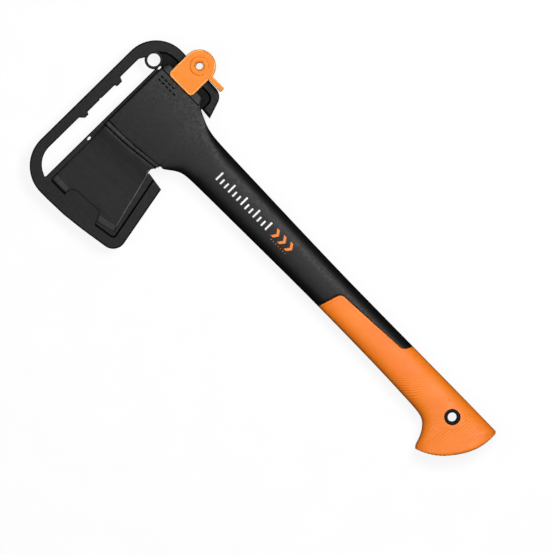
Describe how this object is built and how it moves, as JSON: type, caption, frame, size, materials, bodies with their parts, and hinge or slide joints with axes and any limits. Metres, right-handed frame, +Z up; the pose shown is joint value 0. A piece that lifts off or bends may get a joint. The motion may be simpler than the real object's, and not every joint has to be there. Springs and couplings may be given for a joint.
{
  "type": "chopping axe with locking blade sheath",
  "caption": "Short chopping axe with a composite handle and soft grip, in a rigid blade sheath with a carry handle and a turning lock.",
  "frame": {"origin": "bottom centre of the bounding box of the sheathed axe lying flat on its side", "axes": "+X from the top of the head along the handle to the butt, +Y from the cutting edge towards the poll, +Z up through the thickness"},
  "size_m": [0.472, 0.1948, 0.035],
  "materials": {
    "coated_steel": "dark low-friction coating, ground edge bare grey",
    "shaft_composite": "fine moulded texture, satin black",
    "plug_plastic": "satin black",
    "grip_soft_orange": "soft orange overmould with fine ribs",
    "sheath_plastic": "fine moulded texture, satin black",
    "lock_orange": "satin orange",
    "sleeve_orange": "satin orange"
  },
  "bodies": {
    "axe_in_sheath": {"axe_head": "coated_steel", "handle_shaft": "shaft_composite", "handle_end_plug": "plug_plastic", "grip": "grip_soft_orange", "sheath_frame": "sheath_plastic", "lock_pivot_sleeve": "sleeve_orange"},
    "lock": {"sheath_lock": "lock_orange"}
  },
  "joints": [
    {"name": "lock_turn", "type": "hinge", "parent": "axe_in_sheath", "child": "lock", "pos_m": [-0.18335, 0.08273, 0.0175], "axis": [0, 0, 1], "range_deg": [0, 175]}
  ]
}
